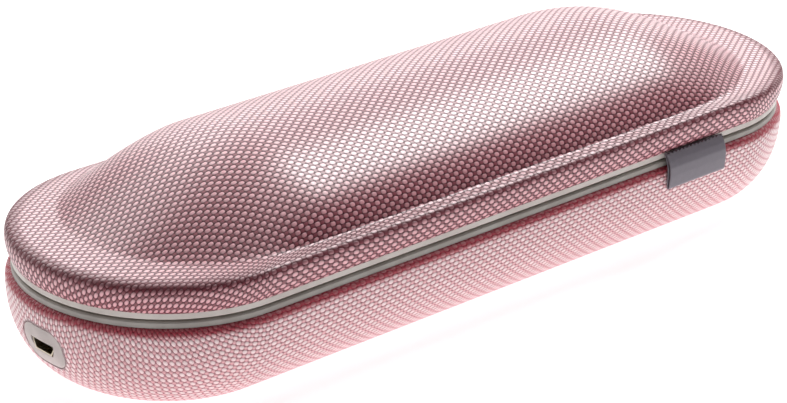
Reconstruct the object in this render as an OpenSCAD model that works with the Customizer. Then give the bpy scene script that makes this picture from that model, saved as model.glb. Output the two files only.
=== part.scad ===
// Hard travel case for an electric toothbrush: a woven shell in two halves with
// moulded rims, a hinge along the back, a charging tray inside and a socket at one end.
// Origin: centre of the footprint, on the surface the case stands on. Front is -Y, socket end -X.

/* [Outline] */
// Length over the rounded ends
case_l = 226.4; // [222:0.2:250]
// Width over the woven sides
case_w = 72; // [71:1:84]
// Height of the base, from the table to the top of its rim
base_h = 25.3; // [25:0.1:32]
// Height of the lid, from the underside of its rim to the crown
lid_h = 24.6; // [24:0.2:30]
// Gap between the two rims when the lid is shut
seam_gap = 0.5; // [0.4:0.05:0.7]
// Visible height of each rim
rim_h = 1.5; // [1.4:0.1:1.9]
// How far each rim lies inside the widest line
rim_tuck = 1.4; // [1:0.1:1.8]

/* [Base shape] */
// How far the sides draw in towards the flat underside
base_draw = 20; // [14:1:24]
// Distance from the top of the rim down to the widest line
base_waist = 2.9; // [2.2:0.1:4]
// Fullness of the side curve, 2 is an ellipse
base_full = 2.28; // [1.9:0.02:2.8]

/* [Lid shape] */
// Room between the rim's skirt and the inside of the shelf
shelf_room = 0.95; // [0.1:0.05:1.2]
// How far the shelf's edge lies inside the widest line
crease_in = 1.2; // [0.8:0.1:2]
// How far the fullest line of the lid's side lies inside the widest line
band_in = 0; // [0:0.1:0.6]
// Width of the shelf along the sides
side_shelf = 3.2; // [2.6:0.1:4.4]
// Width of the shelf round the ends
end_shelf = 11.7; // [7:0.1:14]
// Rise of the shelf from its edge to the dome
shelf_rise = 0.6; // [0.4:0.1:1.6]
// Half the length of the level crown
crown_half = 55; // [40:1:62]
// How late the dome falls away towards the ends
end_fall = 2; // [1.6:0.05:2.6]
// How softly the dome runs out at the ends
end_ease = 1.35; // [1.1:0.05:2]
// Fullness of the dome from side to side, 2 is an ellipse
dome_full = 1.75; // [1.5:0.05:2.2]
// Length beyond the crown over which the dome's foot turns soft
soft_run = 30; // [20:1:45]
// How softly the dome meets the shelf round the ends
soft_foot = 1; // [0:0.1:1.4]
// How close to the foot that softness stays
soft_near = 5; // [3:0.5:8]

/* [Walls] */
// Woven cover
skin_t = 1; // [0.8:0.1:1.2]
// Moulded core under the cover
core_t = 2; // [1.6:0.1:2.2]
// Glue line between cover and core
glue = 0.05; // [0.03:0.01:0.1]
// Wall of the charging tray and of the lining's flange
tray_t = 1.5; // [1.2:0.1:1.8]
// Wall of the lining's dome
lining_t = 1; // [0.8:0.1:1.2]
// Depth of the tray's face below the top of the rim
tray_drop = 1.8; // [1.6:0.1:2]
// Gap between an inserted piece and the piece round it
fit = 0.2; // [0.1:0.05:0.3]

/* [Rims] */
// Width of a rim from its outer face to its opening
rim_w = 5.7; // [5.2:0.1:6]
// Wall of the skirt inside each rim
skirt_t = 1.2; // [1:0.1:1.5]
// Width of the ledge that carries the tray or the lining
ledge_w = 1.8; // [1.4:0.1:2]
// Thickness of that ledge
ledge_t = 1; // [0.8:0.1:1.2]

/* [Hinge] */
// Radius of the knuckles
knuckle_r = 1.5; // [1.3:0.05:1.6]
// How far the pivot lies inside the widest line
pivot_in = 0.4; // [0.2:0.05:0.6]
// Pin diameter
pin_d = 1.2; // [1:0.1:1.4]
// Running clearance of the lid's bores on the pin, across the diameter
pin_play = 0.15; // [0.1:0.01:0.2]
// Length of one knuckle
knuckle_l = 6; // [5:0.5:8]
// Side play between knuckles
knuckle_gap = 0.3; // [0.2:0.05:0.5]
// Distance between the middles of the two hinges
hinge_pitch = 100; // [80:1:110]

/* [Brush cradle] */
// Radius of the handle's cradle
handle_r = 14.5; // [13.5:0.1:14.8]
// Radius of the cradle at the handle's neck
neck_r = 8; // [7:0.1:9]
// Length of the cradle
handle_l = 180; // [170:1:180]
// Length of the cradle's full-width part
handle_body_l = 120; // [100:1:130]
// Length over which the cradle narrows
handle_taper_l = 40; // [30:1:45]
// Distance from the socket end of the case to the cradle
bay_l = 34.5; // [33.5:0.5:35.5]
// Radius of the brush head recesses
head_r = 7.6; // [7:0.1:8]
// Length of a brush head recess
head_l = 80; // [70:1:82]
// Gap between the two brush head recesses
head_gap = 12; // [11:0.5:16]
// Wall between the cradle and the brush heads
row_gap = 2; // [1.6:0.1:3]

/* [Pads] */
// Thickness of the cradle pads
pad_t = 1; // [0.8:0.1:1.5]
// Width of each pad
pad_w = 12; // [8:1:16]
// Distance of each pad from the middle of the cradle's full-width part
pad_reach = 44; // [30:1:50]
// Angle that a cradle pad wraps round the cradle
pad_wrap = 110; // [60:5:140]
// Half the width of a lid pad
lid_pad_half = 11; // [8:0.5:12]

/* [Closing magnets] */
// Length of a magnet
magnet_l = 14; // [10:0.5:18]
// Width of a magnet
magnet_w = 2.6; // [2:0.1:2.8]
// Thickness of a magnet
magnet_t = 2.4; // [1.8:0.1:2.6]
// Wall of the magnet pocket
magnet_wall = 0.8; // [0.6:0.1:1]
// Distance between the magnets
magnet_span = 90; // [60:1:120]

/* [Socket] */
// Width of the socket's surround
bezel_w = 13.4; // [12.6:0.2:15]
// Height of the surround
bezel_h = 9.4; // [8.8:0.2:11]
// Corner radius of the surround
bezel_r = 3.9; // [3:0.1:4.3]
// Height of the middle of the surround above the table
bezel_z = 13.9; // [13.3:0.1:14.6]
// Thickness of the surround's face round the socket
bezel_face = 1.6; // [1.5:0.1:1.8]
// Width of the socket's shell
usb_w = 7.4; // [7:0.1:7.8]
// Height of the socket's shell
usb_h = 2.7; // [2.5:0.1:3]
// Depth of the socket's shell
usb_l = 5; // [4.5:0.1:5.5]
// Height of the middle of the socket above the table
usb_z = 13.6; // [13.2:0.1:14.4]
// Depth of the socket's mouth behind the surround's face
usb_recess = 0.4; // [0.2:0.1:0.8]

/* [Electronics] */
// Wall of the socket's shell
usb_wall = 0.3; // [0.25:0.05:0.4]
// Width of the socket's tongue
tongue_w = 4; // [3.6:0.1:4.4]
// Thickness of the socket's tongue
tongue_t = 0.6; // [0.5:0.1:0.8]
// Distance of the tongue's end behind the socket's mouth
tongue_in = 0.8; // [0.5:0.1:1.2]
// Width of one contact
contact_w = 0.3; // [0.2:0.05:0.4]
// Thickness of one contact
contact_t = 0.15; // [0.1:0.05:0.2]
// Distance between the middles of two contacts
contact_step = 0.65; // [0.6:0.05:0.7]
// Thickness of the circuit board
board_t = 1; // [0.8:0.1:1.6]
// Width of the circuit board
board_w = 22; // [20:0.5:24]
// Distance from the inside of the socket end to the wide part of the board
board_back = 4.6; // [4.6:0.2:6]
// Distance of the board screws from the wide part's front edge
board_hole_in = 7.5; // [6:0.5:8]
// Distance of the board screws from the board's sides
board_hole_side = 3.3; // [3:0.1:4]
// Width of the control chip
chip_w = 5; // [4:0.5:6]
// Height of the control chip
chip_t = 1; // [0.8:0.1:1.2]
// Width of the choke
choke_w = 3.2; // [2.4:0.2:3.6]
// Height of the choke
choke_h = 1.8; // [1.2:0.1:2.4]
// Radius of the round capacitor
can_r = 1.8; // [1.4:0.1:2]
// Height of the round capacitor
can_h = 2.6; // [2:0.1:3]
// Length of the small parts on the board
smd_l = 1.6; // [1.2:0.1:2]
// Width of the small parts
smd_w = 0.9; // [0.7:0.1:1.1]
// Height of the small parts
smd_h = 0.7; // [0.5:0.1:0.8]
// Space between parts on the board
part_gap = 0.8; // [0.6:0.1:1]
// Distance between the coil's two leads
lead_gap = 2.4; // [2:0.2:4]
// Outer radius of the charging coil's bobbin
coil_r = 7; // [6:0.1:7.2]
// Width of the winding
coil_w = 2.2; // [1.6:0.1:2.4]
// Thickness of the bobbin's flanges
flange_t = 0.6; // [0.5:0.1:0.8]
// Radius of the ferrite rod in the coil
ferrite_r = 2.6; // [2:0.1:3]
// Diameter of the coil's leads
lead_d = 0.8; // [0.5:0.1:1]
// Diameter of the board screws
board_screw_d = 2; // [1.6:0.1:2.2]
// Diameter of the tray screws
tray_screw_d = 2.2; // [2:0.1:2.6]
// Length of the screws below their seats
screw_l = 5.5; // [5:0.1:5.8]
// Wall of the screw posts
post_wall = 1.4; // [1.2:0.1:1.8]
// Distance of the end tray screws from the inside of the rounded ends
tray_screw_in = 14.6; // [13:0.2:18]
// Distance of the end tray screws in front of the middle
tray_screw_front = 14; // [12:0.5:15]

/* [Label] */
// Width of the woven label
tag_w = 20; // [14:0.5:26]
// Drop of the label below the lid's rim
tag_drop = 7.6; // [5:0.1:10]
// Thickness of the folded label
tag_t = 0.8; // [0.6:0.1:1]
// Distance of the label's middle from the middle of the case
tag_x = 58.5; // [40:0.5:70]
// Clearance of the label from the base's cover
tag_clear = 0.3; // [0.3:0.05:0.5]

/* [Hidden] */
$fn = 48;

half_l = case_l / 2;
side_r = case_w / 2;
straight = case_l - case_w;
wall = skin_t + core_t;
shell_top = base_h - rim_h;
waist_z = base_h - base_waist;
lid_z = base_h + seam_gap;
seam_z = base_h + seam_gap / 2;
core_in_r = side_r - rim_tuck - wall;
floor_z = wall;

rim_out_r = side_r - rim_tuck;
rim_in_r = rim_out_r - rim_w;
skirt_r = rim_in_r + skirt_t;
ledge_in_r = rim_in_r - ledge_w;
tray_top = base_h - tray_drop;
tray_under = tray_top - tray_t;
skirt_depth = tray_drop + tray_t + ledge_t;
crease_h = skirt_depth + shelf_room + wall + glue;
tray_r = rim_in_r - fit;

pivot_y = side_r - pivot_in;
hinge_count = 5;
hinge_l = hinge_count * knuckle_l + (hinge_count - 1) * knuckle_gap;
knuckle_step = knuckle_l + knuckle_gap;
bore_d = pin_d + pin_play;
swing_clear = 0.2;
web_in = 2;
edge_soft = 0.3;
bezel_depth = 7;
past = 1;
tiny = 0.000001;

row_w = 2 * handle_r + row_gap + 2 * head_r;
handle_y = row_w / 2 - handle_r;
head_y = head_r - row_w / 2;
handle_x0 = bay_l - half_l;
handle_x1 = handle_x0 + handle_body_l;
handle_x2 = handle_x1 + handle_taper_l;
handle_x3 = handle_x0 + handle_l;
pad_mid = handle_x0 + handle_body_l / 2;

inner_end = straight / 2 + core_in_r;
port_cut_x = bezel_depth + wall - half_l;
board_x1 = board_back - inner_end;
board_top = usb_z - usb_h / 2;
tongue_z = usb_z + usb_h / 2 - usb_wall - fit - tongue_t;
usb_face = side_r - side_inset(usb_z);
usb_x = usb_recess - straight / 2 - usb_face;
neck_half = board_w / 5.5;
neck_in = bezel_face - usb_recess + 2 * fit;
neck_x = usb_x + neck_in;
cavity_half = neck_half + fit;
part_x = board_x1 + part_gap;

post_r = board_screw_d / 2 + post_wall;
post_x = board_x1 + board_hole_in;
post_y = board_w / 2 - board_hole_side;
tray_post_r = tray_screw_d / 2 + post_wall;
tray_post_x = inner_end - tray_screw_in;
hole_spare = 0.5;
hole_l = screw_l + hole_spare;
screw_play = 0.3;

coil_x2 = handle_x0 - tray_t - fit;
board_x2 = coil_x2;
coil_x1 = coil_x2 - coil_w - 2 * flange_t;
dock_r = coil_r + fit + tray_t;
dock_x1 = coil_x1 - fit - tray_t;
wire_in_r = ferrite_r + fit / 2 + flange_t;
wire_out_r = coil_r - flange_t;

arc_n = 24;
end_n = 8;
band_share = 0.85;
tag_hold = 0.6;
tag_rows = 2;
crown_turn = 86;
rows_small = 4;
rows_dome = 10;
side_n = 3;
crown_share = min(0.95, crown_half / (half_l - end_shelf - side_r + side_shelf));
side_cuts = [for (i = [1:side_n]) 1 - i * (1 - crown_share) / side_n];
rows_side = 10;
rows_curl = 5;

// Inset of the base's side from its widest line at height z.
function side_inset(z) =
    let (t = min(1, max(0, (waist_z - z) / waist_z)))
    base_draw * (1 - pow(1 - pow(t, base_full), 1 / base_full));

// Outline of the base's wall, set in by off: underside, full side curve, curl under the rim.
function base_curve(off) = concat(
    [[0, off]],
    [for (i = [0:rows_side])
        let (a = 90 - 90 * i / rows_side, e = 2 / base_full)
        [side_r - base_draw + (base_draw - off) * pow(cos(a), e),
         waist_z - (waist_z - off) * pow(sin(a), e)]],
    [for (i = [1:rows_curl])
        let (a = 90 * i / rows_curl)
        [side_r - off - rim_tuck * (1 - cos(a)), waist_z + (shell_top - waist_z) * sin(a)]]
);

// Inside of the core: the same curve, ending in an upright wall below the rim.
function core_curve() = concat(
    [[0, floor_z]],
    [for (i = [0:rows_side])
        let (a = 90 - 90 * i / rows_side, e = 2 / base_full, d = base_draw - wall)
        [core_in_r - d + d * pow(cos(a), e), waist_z - (waist_z - floor_z) * pow(sin(a), e)]],
    [[core_in_r, shell_top]]
);

function backwards(pts) = [for (i = [len(pts) - 1:-1:0]) pts[i]];

// Columns of every ring of the lid: share of the spine and heading, anticlockwise.
lid_columns = concat(
    [for (i = [0:arc_n]) [1, 180 * i / arc_n - 90]],
    [for (c = side_cuts) [c, 90]],
    [for (c = backwards(side_cuts)) [-c, 90]],
    [for (i = [0:arc_n]) [-1, 180 * i / arc_n + 90]],
    [for (c = side_cuts) [-c, 270]],
    [for (c = backwards(side_cuts)) [c, 270]]
);

// Point in plan of a ring of half length l and half width w at column c.
function ring_point(l, w, c) = [c[0] * (l - w) + w * cos(c[1]), w * sin(c[1])];

// Level ring of half length l and half width w at height h.
function level_ring(l, w, h) = [for (c = lid_columns) concat(ring_point(l, w, c), h)];

// Level ring of the lid, set in by d, at height h above the lid's underside.
function lid_ring(d, h) = level_ring(half_l - d, side_r - d, h);

// Height of the fullest line of the lid's side, where the side ends at height top.
function band_mid(top) = rim_h + (top - rim_h) * band_share;

// Half width of the lid's side at height h, between the rim and the fullest line.
function lid_side_r(h) =
    let (mid = band_mid(crease_h), a = asin((mid - h) / (mid - rim_h)))
    side_r - rim_tuck + (rim_tuck - band_in) * cos(a);

// Rings of the lid's surface, set in by off, from the rim to the crown.
function lid_rings(off) =
    let (
        top = crease_h - off,
        mid = band_mid(top),
        x0 = half_l - off - crease_in - end_shelf,
        y0 = side_r - off - crease_in - side_shelf,
        h0 = top + shelf_rise
    )
    concat(
        [for (i = [0:rows_small - 1])
            let (a = 90 - 90 * i / rows_small)
            lid_ring(off + rim_tuck - (rim_tuck - band_in) * cos(a), mid - (mid - rim_h) * sin(a))],
        [for (i = [0:rows_small])
            let (a = 90 * i / rows_small)
            lid_ring(off + crease_in - (crease_in - band_in) * cos(a), mid + (top - mid) * sin(a))],
        dome_rings(x0, y0, h0, lid_h - off - h0)
    );

// Share of its rise that a dome reaches at point p: one fall along the case, one across it,
// and round the ends one more that eases the foot into the shelf.
function dome_share(p, x0, y0) =
    let (
        t = max(0, (abs(p[0]) - crown_half) / (x0 - crown_half)),
        beyond = max(0, abs(p[0]) - x0 + y0),
        foot = sqrt(max(tiny, y0 * y0 - beyond * beyond)),
        s = abs(p[1]) / foot,
        u = min(1, max(0, abs(p[0]) - crown_half) / soft_run)
    )
    pow(max(0, 1 - pow(t, end_fall)), end_ease)
    * pow(max(0, 1 - pow(s, dome_full)), 1 / dome_full)
    * pow(max(tiny, 1 - pow(s, soft_near)), soft_foot * u * u * (3 - 2 * u));

// Rings of a dome that stands on a rounded outline of half length x0 and half width y0.
function dome_rings(x0, y0, h0, rise) = [
    for (i = [0:rows_dome])
        let (w = y0 * pow(cos(crown_turn * i / rows_dome), 2 / dome_full))
        [for (c = lid_columns)
            let (p = ring_point(x0 - y0 + w, w, c))
            concat(p, h0 + rise * dome_share(p, x0, y0))]
];

// The lining's rings from height low: upright inside the ledge, then a dome under the core.
function lining_rings(off, low) =
    let (
        y0 = ledge_in_r - fit - off,
        x1 = straight / 2 + y0,
        x0 = half_l - wall - glue - crease_in - end_shelf - fit - off,
        h0 = crease_h + shelf_rise - wall - glue - fit - off,
        top = lid_h - wall - glue - fit - off
    )
    concat(
        [for (h = [low, tray_drop + tray_t - off]) level_ring(x1, y0, h)],
        dome_rings(x0, y0, h0, top - h0)
    );

// Solid through a stack of rings, given from the lowest to the highest.
module loft(rings) {
    n = len(lid_columns);
    k = len(rings);
    points = [for (ring = rings) each ring];
    sides = [for (j = [0:k - 2], i = [0:n - 1])
        let (p = j * n + i, q = j * n + (i + 1) % n)
        each [[p, q + n, q], [p, p + n, q + n]]];
    bottom = [for (f = closing(0)) backwards(f)];
    polyhedron(points = points, faces = concat(bottom, sides, closing((k - 1) * n)));
}

// Faces that close a ring from side to side, each column joined to the one across.
function closing(first) =
    let (n = len(lid_columns), tip = arc_n / 2)
    [for (i = [tip:tip + n / 2 - 1])
        let (j = i + 1, across_i = (n + arc_n - i) % n, across_j = (n + arc_n - j) % n)
        each [
            if (across_i != i) [first + i, first + across_i, first + across_j],
            if (across_j != j) [first + i, first + across_j, first + j]
        ]];

// The rings with one more, lower by drop, to cut a hollow open at the bottom.
function opened(rings, drop) =
    concat([[for (p = rings[0]) [p[0], p[1], p[2] - drop]]], rings);

// One end of a wall: the profile turned half round the end's centre.
module end_sweep(pts) {
    translate([straight / 2, 0, 0]) rotate([0, 0, -90]) rotate_extrude(angle = 180) polygon(pts);
}

// A profile of distance from the centre line and height, carried round the case.
module case_sweep(pts) {
    end_sweep(pts);
    mirror([1, 0, 0]) end_sweep(pts);
    for (s = [0, 1])
        mirror([0, s, 0])
            rotate([90, 0, 90]) linear_extrude(straight, center = true) polygon(pts);
}

// Flat plate with the case's outline, set in to radius r.
module plate(r, z, t) {
    for (s = [-1, 1])
        translate([s * straight / 2, 0, z]) cylinder(r = r, h = t);
    translate([-straight / 2, -r, z]) cube([straight, 2 * r, t]);
}

module bar_x(x1, x2, y, z, r) {
    translate([x1, y, z]) rotate([0, 90, 0]) cylinder(r = r, h = x2 - x1);
}

// Rounded rectangle that looks along X, centred on y and z.
module port_prism(x1, x2, w, h, r, z) {
    translate([x1, 0, z])
        rotate([90, 0, 90])
            linear_extrude(x2 - x1) {
                square([w - 2 * r, h], center = true);
                square([w, h - 2 * r], center = true);
                for (sx = [-1, 1], sy = [-1, 1])
                    translate([sx * (w / 2 - r), sy * (h / 2 - r)]) circle(r);
            }
}

// Outline of the charging plug's mouth, grown by g: wide on top, drawn in below.
module usb_outline(g) {
    w = usb_w / 2 + g;
    h = usb_h / 2 + g;
    shoulder = usb_h / 3;
    polygon([[-w, h], [w, h], [w, h - shoulder - g], [w - shoulder, -h], [shoulder - w, -h],
        [-w, h - shoulder - g]]);
}

module usb_bar(x1, x2, g) {
    translate([x1, 0, usb_z]) rotate([90, 0, 90]) linear_extrude(x2 - x1) usb_outline(g);
}

// Space of one knuckle, numbered from the low X end of each hinge.
module knuckle_bar(i, r, grow) {
    for (s = [-1, 1]) {
        x1 = s * hinge_pitch / 2 - hinge_l / 2 + i * knuckle_step;
        bar_x(x1 - grow, x1 + knuckle_l + grow, pivot_y, seam_z, r);
    }
}

// Web from a rim to one of its knuckles; side is -1 below the seam and 1 above it.
module knuckle_web(i, side) {
    z1 = side < 0 ? seam_z - knuckle_r : seam_z + seam_gap / 2;
    for (s = [-1, 1])
        translate([s * hinge_pitch / 2 - hinge_l / 2 + i * knuckle_step, rim_out_r - web_in, z1])
            cube([knuckle_l, pivot_y - rim_out_r + web_in, knuckle_r - seam_gap / 2]);
}

// Frame between shell and tray, for the base; the lid's is its mirror image.
module rim_ring() {
    case_sweep([
        [rim_in_r, base_h], [rim_out_r - edge_soft, base_h], [rim_out_r, base_h - edge_soft],
        [rim_out_r, base_h - rim_h], [skirt_r, base_h - rim_h],
        [skirt_r, base_h - skirt_depth], [ledge_in_r, base_h - skirt_depth],
        [ledge_in_r, base_h - skirt_depth + ledge_t], [rim_in_r, base_h - skirt_depth + ledge_t]
    ]);
    magnet_blocks(0, base_h - magnet_t - magnet_wall, base_h);
}

// Blocks round both magnets, grown by g, from height z1 to z2.
module magnet_blocks(g, z1, z2) {
    l = magnet_l + fit + 2 * magnet_wall + 2 * g;
    for (s = [-1, 1])
        translate([s * magnet_span / 2 - l / 2, fit - core_in_r, z1])
            cube([l, magnet_w + fit + 2 * magnet_wall + g, z2 - z1]);
}

// Both magnet pockets, open below, or the magnets themselves with g between them and the walls.
module magnet_pair(g) {
    for (s = [-1, 1])
        translate([s * magnet_span / 2 - magnet_l / 2 - fit / 2 + g, fit - core_in_r + magnet_wall + g,
            base_h - magnet_t - magnet_wall])
            cube([magnet_l + fit - 2 * g, magnet_w + fit - 2 * g, magnet_t]);
}

// Both rims are cut away where the other rim's knuckles turn.
module rim_with_hinge(own, other, side) {
    difference() {
        union() {
            if (side < 0) rim_ring();
            else translate([0, 0, 2 * seam_z]) mirror([0, 0, 1]) rim_ring();
            for (i = own) {
                knuckle_bar(i, knuckle_r, 0);
                knuckle_web(i, side);
            }
        }
        for (i = other) knuckle_bar(i, knuckle_r + swing_clear, knuckle_gap);
        // the ledge makes way for the tray's hollows where the case is narrow
        if (side < 0) tray_hollows(tray_t + fit);
        if (side < 0) magnet_pair(0);
        else translate([0, 0, 2 * seam_z]) mirror([0, 0, 1]) magnet_pair(0);
        for (i = own) knuckle_bar(i, (side < 0 ? pin_d : bore_d) / 2, past);
    }
}

// A shape spun round a line along X at y, level with the tray's face; points are [radius, x].
module spun_x(y, pts) {
    translate([0, y, tray_top]) rotate([0, 90, 0]) rotate_extrude() polygon(pts);
}

// Quarter of a round end: radius r, centred at x, towards low X (s = -1) or high X (s = 1).
function round_end(x, r, s) =
    [for (i = [0:end_n]) let (a = 90 * (s < 0 ? i / end_n - 1 : i / end_n)) [r * cos(a), x + r * sin(a)]];

// The handle's cradle grown by g: full width, taper, neck, round end.
function handle_profile(g) = concat(
    [[0, handle_x0 - g], [handle_r + g, handle_x0 - g], [handle_r + g, handle_x1],
     [neck_r + g, handle_x2]],
    round_end(handle_x3 - neck_r, neck_r + g, 1)
);

// A brush head recess grown by g, on side s of the middle.
function head_profile(s, g) =
    let (mid = s * (head_gap + head_l) / 2, half = head_l / 2 - head_r)
    concat(round_end(mid - half, head_r + g, -1), round_end(mid + half, head_r + g, 1));

// Cradle and brush head hollows, grown by g.
module tray_hollows(g) {
    spun_x(handle_y, handle_profile(g));
    for (s = [-1, 1]) spun_x(head_y, head_profile(s, g));
}

// Places of the tray screws.
function tray_screw_places() =
    [[-tray_post_x, -tray_screw_front], [0, head_y], [tray_post_x, -tray_screw_front]];

// Places of the board screws.
function board_screw_places() = [[post_x, -post_y], [post_x, post_y]];

module base_cover() {
    color("#d6a7b1")
        difference() {
            case_sweep(concat(base_curve(0), backwards(base_curve(skin_t))));
            port_prism(-half_l - past, port_cut_x, bezel_w + fit, bezel_h + fit, bezel_r, bezel_z);
        }
}

// Posts for the board and the tray, from the floor of the core.
module core_posts() {
    for (p = board_screw_places())
        translate([p[0], p[1], skin_t + glue]) cylinder(r = post_r, h = board_top - board_t - skin_t - glue);
    for (p = tray_screw_places())
        translate([p[0], p[1], skin_t + glue]) cylinder(r = tray_post_r, h = tray_under - skin_t - glue);
}

module base_core() {
    color("#4b4650")
        difference() {
            union() {
                case_sweep(concat(base_curve(skin_t + glue), backwards(core_curve())));
                intersection() {
                    core_posts();
                    case_sweep(concat(base_curve(skin_t + glue), [[0, shell_top]]));
                }
            }
            port_prism(-half_l - past, port_cut_x, bezel_w + fit, bezel_h + fit, bezel_r, bezel_z);
            for (p = board_screw_places())
                translate([p[0], p[1], board_top - hole_l])
                    cylinder(d = board_screw_d, h = hole_l);
            for (p = tray_screw_places())
                translate([p[0], p[1], tray_top - hole_l])
                    cylinder(d = tray_screw_d, h = hole_l);
        }
}

module base_rim() {
    color("#d9d3cc") rim_with_hinge([0, 2, 4], [1, 3], -1);
}

module lid_rim() {
    color("#e0dad3") rim_with_hinge([1, 3], [0, 2, 4], 1);
}

module charging_tray() {
    color("#e6e3df")
        difference() {
            union() {
                plate(tray_r, tray_under, tray_t);
                intersection() {
                    tray_hollows(tray_t);
                    translate([-half_l, -side_r, 0]) cube([case_l, case_w, tray_top]);
                }
                bar_x(dock_x1, handle_x0, handle_y, tray_top, dock_r);
            }
            tray_hollows(0);
            // room for the coil, open below
            bar_x(coil_x1 - fit, coil_x2 + fit, handle_y, tray_top, coil_r + fit);
            translate([coil_x1 - fit, handle_y - coil_r - fit, 0])
                cube([coil_x2 - coil_x1 + 2 * fit, 2 * (coil_r + fit), tray_top]);
            for (p = tray_screw_places()) {
                translate([p[0], p[1], 0]) cylinder(d = tray_screw_d + screw_play, h = base_h);
                translate([p[0], p[1], tray_top - tray_screw_d / 2])
                    cylinder(d1 = tray_screw_d + screw_play, d2 = 2 * tray_screw_d + screw_play,
                        h = tray_screw_d / 2);
            }
            magnet_blocks(fit, tray_under - past, base_h);
        }
}

module cradle_pads() {
    color("#8f8b8e")
        for (s = [-1, 1])
            translate([pad_mid + s * pad_reach - pad_w / 2, handle_y, tray_top])
                rotate([90, 0, 90])
                    rotate([0, 0, -90 - pad_wrap / 2])
                        rotate_extrude(angle = pad_wrap)
                            translate([handle_r - pad_t, 0]) square([pad_t, pad_w]);
}

module hinge_pins() {
    color("#b8bcc2")
        for (s = [-1, 1])
            bar_x(s * hinge_pitch / 2 - hinge_l / 2, s * hinge_pitch / 2 + hinge_l / 2, pivot_y, seam_z,
                pin_d / 2);
}

module base_magnets() {
    color("#9aa0a8") magnet_pair(fit / 2);
}

module lid_magnets() {
    color("#9aa0a8") translate([0, 0, 2 * seam_z]) mirror([0, 0, 1]) magnet_pair(fit / 2);
}

module port_bezel() {
    color("#d3ceca")
        difference() {
            intersection() {
                mirror([1, 0, 0]) end_sweep(concat(base_curve(0), [[0, shell_top]]));
                port_prism(-half_l - past, bezel_depth - half_l, bezel_w, bezel_h, bezel_r, bezel_z);
            }
            usb_bar(-half_l - past, 0, fit);
            translate([usb_x - usb_recess + bezel_face, -cavity_half, board_top - board_t - fit])
                cube([bezel_depth + past, 2 * cavity_half, usb_h + board_t + 3 * fit]);
        }
}

module usb_shell() {
    color("#b9ad97")
        difference() {
            usb_bar(usb_x, usb_x + usb_l, 0);
            usb_bar(usb_x - past, usb_x + usb_l - usb_wall, -usb_wall);
        }
}

module usb_tongue() {
    color("#2a2a2c")
        translate([usb_x + tongue_in, -tongue_w / 2, tongue_z])
            cube([usb_l - usb_wall - tongue_in, tongue_w, tongue_t]);
}

module usb_contacts() {
    color("#c9a24b")
        for (i = [-2:2])
            translate([usb_x + tongue_in + fit, i * contact_step - contact_w / 2, tongue_z - contact_t])
                cube([usb_l - usb_wall - tongue_in - 2 * fit, contact_w, contact_t]);
}

module circuit_board() {
    color("#2f6b3c")
        difference() {
            union() {
                translate([board_x1, -board_w / 2, board_top - board_t])
                    cube([board_x2 - board_x1, board_w, board_t]);
                translate([neck_x, -neck_half, board_top - board_t])
                    cube([board_x1 - neck_x + past, 2 * neck_half, board_t]);
            }
            for (p = board_screw_places())
                translate([p[0], p[1], 0]) cylinder(d = board_screw_d + screw_play, h = base_h);
        }
}

module control_chip() {
    color("#26262a")
        translate([board_x2 - 1.5 * chip_w, -part_gap - chip_w / 2, board_top])
            cube([chip_w, chip_w, chip_t]);
}

module board_components() {
    color("#4a4038") {
        translate([part_x, -neck_half - choke_w, board_top]) cube([choke_w, choke_w, choke_h]);
        for (i = [0:2])
            translate([part_x, neck_half + i * (smd_w + part_gap), board_top]) cube([smd_l, smd_w, smd_h]);
        translate([board_x2 - can_r - part_gap, can_r + part_gap - board_w / 2, board_top])
            cylinder(r = can_r, h = can_h);
        for (i = [0:1])
            translate([part_x + choke_w + i * (smd_w + part_gap), -smd_l / 2, board_top])
                cube([smd_w, smd_l, smd_h]);
    }
}

module coil_bobbin() {
    color("#f0ece4")
        difference() {
            union() {
                bar_x(coil_x1, coil_x1 + flange_t, handle_y, tray_top, coil_r);
                bar_x(coil_x2 - flange_t, coil_x2, handle_y, tray_top, coil_r);
                bar_x(coil_x1, coil_x2, handle_y, tray_top, wire_in_r);
            }
            bar_x(coil_x1 - past, coil_x2 + past, handle_y, tray_top, ferrite_r + fit / 2);
        }
}

module charging_coil() {
    color("#b06a35")
        difference() {
            bar_x(coil_x1 + flange_t, coil_x2 - flange_t, handle_y, tray_top, wire_out_r);
            bar_x(coil_x1, coil_x2, handle_y, tray_top, wire_in_r);
        }
}

module ferrite_rod() {
    color("#4c4c50") bar_x(coil_x1, coil_x2, handle_y, tray_top, ferrite_r);
}

module coil_leads() {
    color("#a8332e")
        difference() {
            for (s = [-1, 1])
                translate([(coil_x1 + coil_x2) / 2, handle_y + s * lead_gap / 2, board_top])
                    cylinder(d = lead_d, h = tray_top - wire_out_r - board_top + past);
            bar_x(coil_x1, coil_x2, handle_y, tray_top, wire_out_r);
        }
}

// Cross in the head of a screw of diameter d, cut upwards from here.
module cross_slot(d) {
    translate([-d / 8, -3 * d / 4, 0]) cube([d / 4, 3 * d / 2, d]);
    translate([-3 * d / 4, -d / 8, 0]) cube([3 * d / 2, d / 4, d]);
}

// Screw with a head that sinks into its seat, pointing down from z.
module sunk_screw(d, z, l) {
    translate([0, 0, z - l]) cylinder(d = d, h = l);
    translate([0, 0, z - d / 2]) cylinder(d1 = d, d2 = 2 * d, h = d / 2);
}

// Screw with a flat round head that stands on its seat.
module pan_screw(d, z, l) {
    translate([0, 0, z - l]) cylinder(d = d, h = l);
    difference() {
        translate([0, 0, z]) cylinder(d = 2 * d, h = d / 2);
        translate([0, 0, z + d / 4]) cross_slot(d);
    }
}

module board_screws() {
    color("#c4c6ca")
        for (p = board_screw_places())
            translate([p[0], p[1], 0]) pan_screw(board_screw_d, board_top, screw_l);
}

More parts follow.
